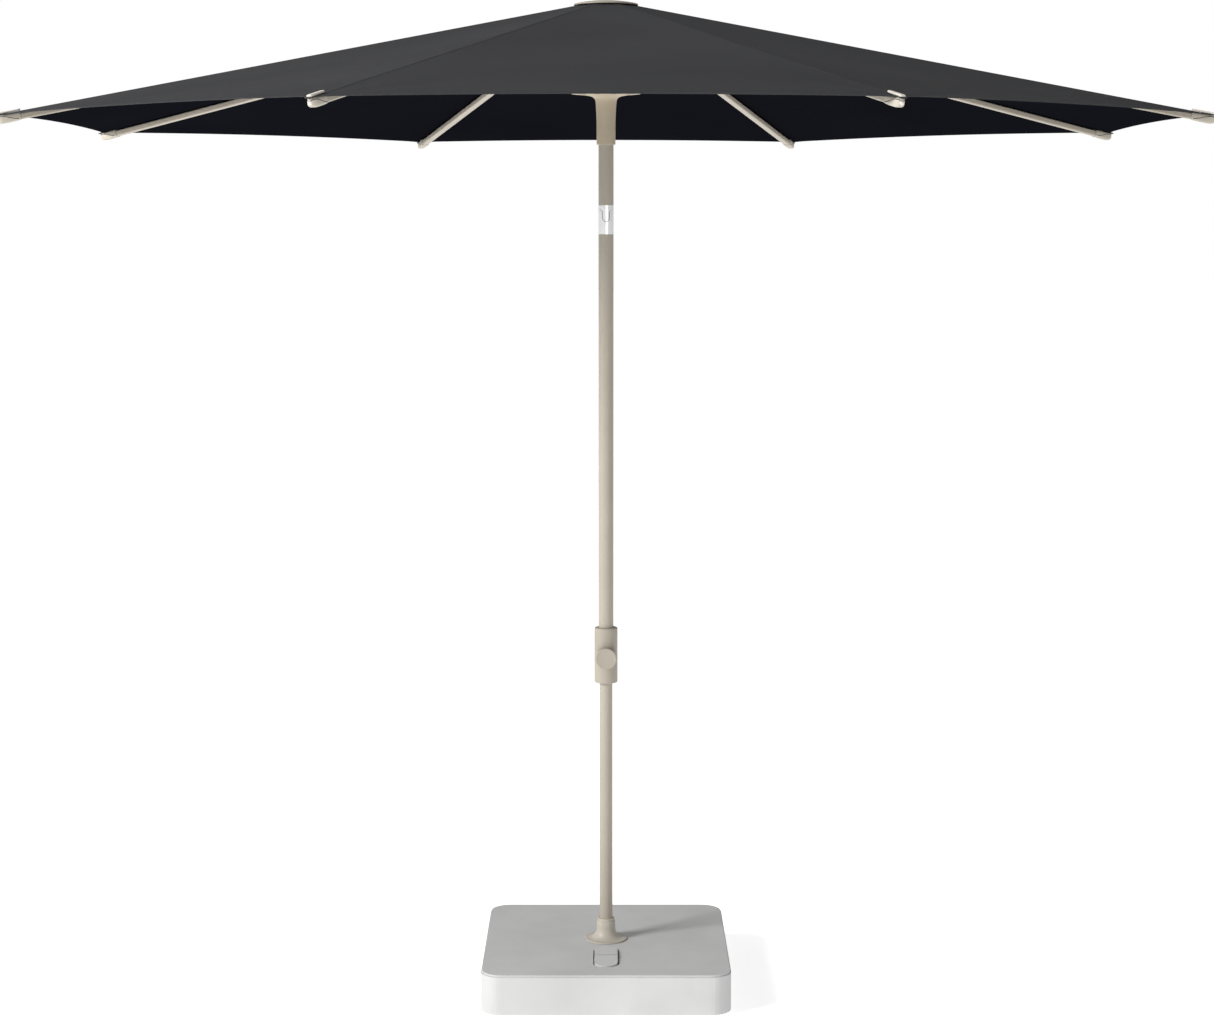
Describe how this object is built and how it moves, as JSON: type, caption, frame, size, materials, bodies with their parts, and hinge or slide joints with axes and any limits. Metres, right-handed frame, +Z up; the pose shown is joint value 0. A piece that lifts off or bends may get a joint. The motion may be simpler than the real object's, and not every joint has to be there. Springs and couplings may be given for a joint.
{
  "type": "patio umbrella with base",
  "caption": "Centre-pole patio umbrella with an octagonal fabric canopy, folding ribs, tilt joint, height collar and a square concrete base with a foot clamp.",
  "frame": {"origin": "on the ground at the centre of the base, on the mast axis", "axes": "+Z up along the mast, -Y to the front, where the clamp knob and the foot pedal are, +X to the right seen from the front"},
  "size_m": [2.8012, 2.8012, 2.496],
  "materials": {
    "concrete": "fine cast concrete, matt",
    "rubber": "matt",
    "steel": "zinc-plated, satin",
    "flange_paint": "sand powder coat, fine texture",
    "pedal_plastic": "pale moulded plastic",
    "mast_paint": "aluminium tube with a sand powder coat, satin",
    "rib_paint": "aluminium section with a sand powder coat, satin",
    "sand_plastic": "moulded plastic in the frame colour",
    "tip_plastic": "moulded plastic in the frame colour",
    "nylon": "dark nylon",
    "bare_aluminium": "polished casting",
    "canopy_fabric": "woven polyester, anthracite"
  },
  "bodies": {
    "base": {"base_slab": "concrete", "base_feet": "rubber", "mast_socket": "steel", "base_flange": "flange_paint", "pedal_pin": "steel"},
    "pedal": {"clamp_pedal": "pedal_plastic"},
    "bolt": {"lock_bolt": "steel"},
    "lower_mast": {"lower_mast": "mast_paint", "guide_plug": "nylon"},
    "upper_mast": {"upper_mast": "mast_paint", "height_collar": "sand_plastic", "collar_bush": "nylon", "tilt_fork": "bare_aluminium", "tilt_pin": "steel"},
    "knob": {"clamp_knob": "sand_plastic", "clamp_screw": "steel"},
    "shoe": {"clamp_shoe": "nylon"},
    "crown": {"tilt_tongue": "bare_aluminium", "top_mast": "mast_paint", "crown_hub": "sand_plastic", "rib_pins": "steel", "top_cap": "sand_plastic", "cap_bolt": "steel", "canopy_crown": "canopy_fabric"},
    "runner": {"runner": "sand_plastic", "runner_bush": "nylon"},
    "rib_arm_1": {"rib_1": "rib_paint", "rib_tip_1": "tip_plastic", "canopy_panel_1": "canopy_fabric"},
    "strut_arm_1": {"strut_1": "rib_paint"},
    "rib_arm_2": {"rib_2": "rib_paint", "rib_tip_2": "tip_plastic", "canopy_panel_2": "canopy_fabric"},
    "strut_arm_2": {"strut_2": "rib_paint"},
    "rib_arm_3": {"rib_3": "rib_paint", "rib_tip_3": "tip_plastic", "canopy_panel_3": "canopy_fabric"},
    "strut_arm_3": {"strut_3": "rib_paint"},
    "rib_arm_4": {"rib_4": "rib_paint", "rib_tip_4": "tip_plastic", "canopy_panel_4": "canopy_fabric"},
    "strut_arm_4": {"strut_4": "rib_paint"},
    "rib_arm_5": {"rib_5": "rib_paint", "rib_tip_5": "tip_plastic", "canopy_panel_5": "canopy_fabric"},
    "strut_arm_5": {"strut_5": "rib_paint"},
    "rib_arm_6": {"rib_6": "rib_paint", "rib_tip_6": "tip_plastic", "canopy_panel_6": "canopy_fabric"},
    "strut_arm_6": {"strut_6": "rib_paint"},
    "rib_arm_7": {"rib_7": "rib_paint", "rib_tip_7": "tip_plastic", "canopy_panel_7": "canopy_fabric"},
    "strut_arm_7": {"strut_7": "rib_paint"},
    "rib_arm_8": {"rib_8": "rib_paint", "rib_tip_8": "tip_plastic", "canopy_panel_8": "canopy_fabric"},
    "strut_arm_8": {"strut_8": "rib_paint"}
  },
  "joints": [
    {"name": "pedal_rock", "type": "hinge", "parent": "base", "child": "pedal", "pos_m": [0, -0.159, 0.092], "axis": [-1, 0, 0], "range_deg": [0, 6]},
    {"name": "lock_bolt_slide", "type": "slide", "parent": "base", "child": "bolt", "axis": [0, 1, 0], "range_m": [-0.0031, 0]},
    {"name": "mast_swivel", "type": "hinge", "parent": "base", "child": "lower_mast", "pos_m": [0, 0, 0.1], "axis": [0, 0, 1], "continuous": true},
    {"name": "mast_height", "type": "slide", "parent": "lower_mast", "child": "upper_mast", "axis": [0, 0, 1], "range_m": [-0.5, 0.1]},
    {"name": "knob_turn", "type": "hinge", "parent": "upper_mast", "child": "knob", "pos_m": [0, -0.05, 0.8375], "axis": [0, -1, 0], "range_deg": [-360, 0]},
    {"name": "shoe_slide", "type": "slide", "parent": "upper_mast", "child": "shoe", "axis": [0, 1, 0], "range_m": [-0.0013, 0]},
    {"name": "mast_tilt", "type": "hinge", "parent": "upper_mast", "child": "crown", "pos_m": [0, 0, 1.956], "axis": [-1, 0, 0], "range_deg": [0, 35]},
    {"name": "runner_slide", "type": "slide", "parent": "crown", "child": "runner", "axis": [0, 0, 1], "range_m": [-0.63367, 0]},
    {"name": "rib_fold_1", "type": "hinge", "parent": "crown", "child": "rib_arm_1", "pos_m": [0.02373, -0.05728, 2.472], "axis": [-0.9239, -0.3827, 0], "range_deg": [-74.38, 0], "deforming": ["canopy_panel_1"]},
    {"name": "strut_fold_1", "type": "hinge", "parent": "rib_arm_1", "child": "strut_arm_1", "pos_m": [0.17813, -0.43004, 2.37385], "axis": [-0.9239, -0.3827, 0], "range_deg": [0, 148.76]},
    {"name": "rib_fold_2", "type": "hinge", "parent": "crown", "child": "rib_arm_2", "pos_m": [0.05728, -0.02373, 2.472], "axis": [-0.3827, -0.9239, 0], "range_deg": [-74.38, 0], "deforming": ["canopy_panel_2"]},
    {"name": "strut_fold_2", "type": "hinge", "parent": "rib_arm_2", "child": "strut_arm_2", "pos_m": [0.43004, -0.17813, 2.37385], "axis": [-0.3827, -0.9239, 0], "range_deg": [0, 148.76]},
    {"name": "rib_fold_3", "type": "hinge", "parent": "crown", "child": "rib_arm_3", "pos_m": [0.05728, 0.02373, 2.472], "axis": [0.3827, -0.9239, 0], "range_deg": [-74.38, 0], "deforming": ["canopy_panel_3"]},
    {"name": "strut_fold_3", "type": "hinge", "parent": "rib_arm_3", "child": "strut_arm_3", "pos_m": [0.43004, 0.17813, 2.37385], "axis": [0.3827, -0.9239, 0], "range_deg": [0, 148.76]},
    {"name": "rib_fold_4", "type": "hinge", "parent": "crown", "child": "rib_arm_4", "pos_m": [0.02373, 0.05728, 2.472], "axis": [0.9239, -0.3827, 0], "range_deg": [-74.38, 0], "deforming": ["canopy_panel_4"]},
    {"name": "strut_fold_4", "type": "hinge", "parent": "rib_arm_4", "child": "strut_arm_4", "pos_m": [0.17813, 0.43004, 2.37385], "axis": [0.9239, -0.3827, 0], "range_deg": [0, 148.76]},
    {"name": "rib_fold_5", "type": "hinge", "parent": "crown", "child": "rib_arm_5", "pos_m": [-0.02373, 0.05728, 2.472], "axis": [0.9239, 0.3827, 0], "range_deg": [-74.38, 0], "deforming": ["canopy_panel_5"]},
    {"name": "strut_fold_5", "type": "hinge", "parent": "rib_arm_5", "child": "strut_arm_5", "pos_m": [-0.17813, 0.43004, 2.37385], "axis": [0.9239, 0.3827, 0], "range_deg": [0, 148.76]},
    {"name": "rib_fold_6", "type": "hinge", "parent": "crown", "child": "rib_arm_6", "pos_m": [-0.05728, 0.02373, 2.472], "axis": [0.3827, 0.9239, 0], "range_deg": [-74.38, 0], "deforming": ["canopy_panel_6"]},
    {"name": "strut_fold_6", "type": "hinge", "parent": "rib_arm_6", "child": "strut_arm_6", "pos_m": [-0.43004, 0.17813, 2.37385], "axis": [0.3827, 0.9239, 0], "range_deg": [0, 148.76]},
    {"name": "rib_fold_7", "type": "hinge", "parent": "crown", "child": "rib_arm_7", "pos_m": [-0.05728, -0.02373, 2.472], "axis": [-0.3827, 0.9239, 0], "range_deg": [-74.38, 0], "deforming": ["canopy_panel_7"]},
    {"name": "strut_fold_7", "type": "hinge", "parent": "rib_arm_7", "child": "strut_arm_7", "pos_m": [-0.43004, -0.17813, 2.37385], "axis": [-0.3827, 0.9239, 0], "range_deg": [0, 148.76]},
    {"name": "rib_fold_8", "type": "hinge", "parent": "crown", "child": "rib_arm_8", "pos_m": [-0.02373, -0.05728, 2.472], "axis": [-0.9239, 0.3827, 0], "range_deg": [-74.38, 0], "deforming": ["canopy_panel_8"]},
    {"name": "strut_fold_8", "type": "hinge", "parent": "rib_arm_8", "child": "strut_arm_8", "pos_m": [-0.17813, -0.43004, 2.37385], "axis": [-0.9239, 0.3827, 0], "range_deg": [0, 148.76]}
  ],
  "couplings": [
    {"joint": "lock_bolt_slide", "follows": "pedal_rock", "m_per_rad": -0.028648},
    {"joint": "shoe_slide", "follows": "knob_turn", "m_per_rad": 0.000199},
    {"joint": "rib_fold_1", "follows": "runner_slide", "rad_per_m": 2.0472},
    {"joint": "strut_fold_1", "follows": "runner_slide", "rad_per_m": -4.0944},
    {"joint": "rib_fold_2", "follows": "runner_slide", "rad_per_m": 2.0472},
    {"joint": "strut_fold_2", "follows": "runner_slide", "rad_per_m": -4.0944},
    {"joint": "rib_fold_3", "follows": "runner_slide", "rad_per_m": 2.0472},
    {"joint": "strut_fold_3", "follows": "runner_slide", "rad_per_m": -4.0944},
    {"joint": "rib_fold_4", "follows": "runner_slide", "rad_per_m": 2.0472},
    {"joint": "strut_fold_4", "follows": "runner_slide", "rad_per_m": -4.0944},
    {"joint": "rib_fold_5", "follows": "runner_slide", "rad_per_m": 2.0472},
    {"joint": "strut_fold_5", "follows": "runner_slide", "rad_per_m": -4.0944},
    {"joint": "rib_fold_6", "follows": "runner_slide", "rad_per_m": 2.0472},
    {"joint": "strut_fold_6", "follows": "runner_slide", "rad_per_m": -4.0944},
    {"joint": "rib_fold_7", "follows": "runner_slide", "rad_per_m": 2.0472},
    {"joint": "strut_fold_7", "follows": "runner_slide", "rad_per_m": -4.0944},
    {"joint": "rib_fold_8", "follows": "runner_slide", "rad_per_m": 2.0472},
    {"joint": "strut_fold_8", "follows": "runner_slide", "rad_per_m": -4.0944}
  ]
}
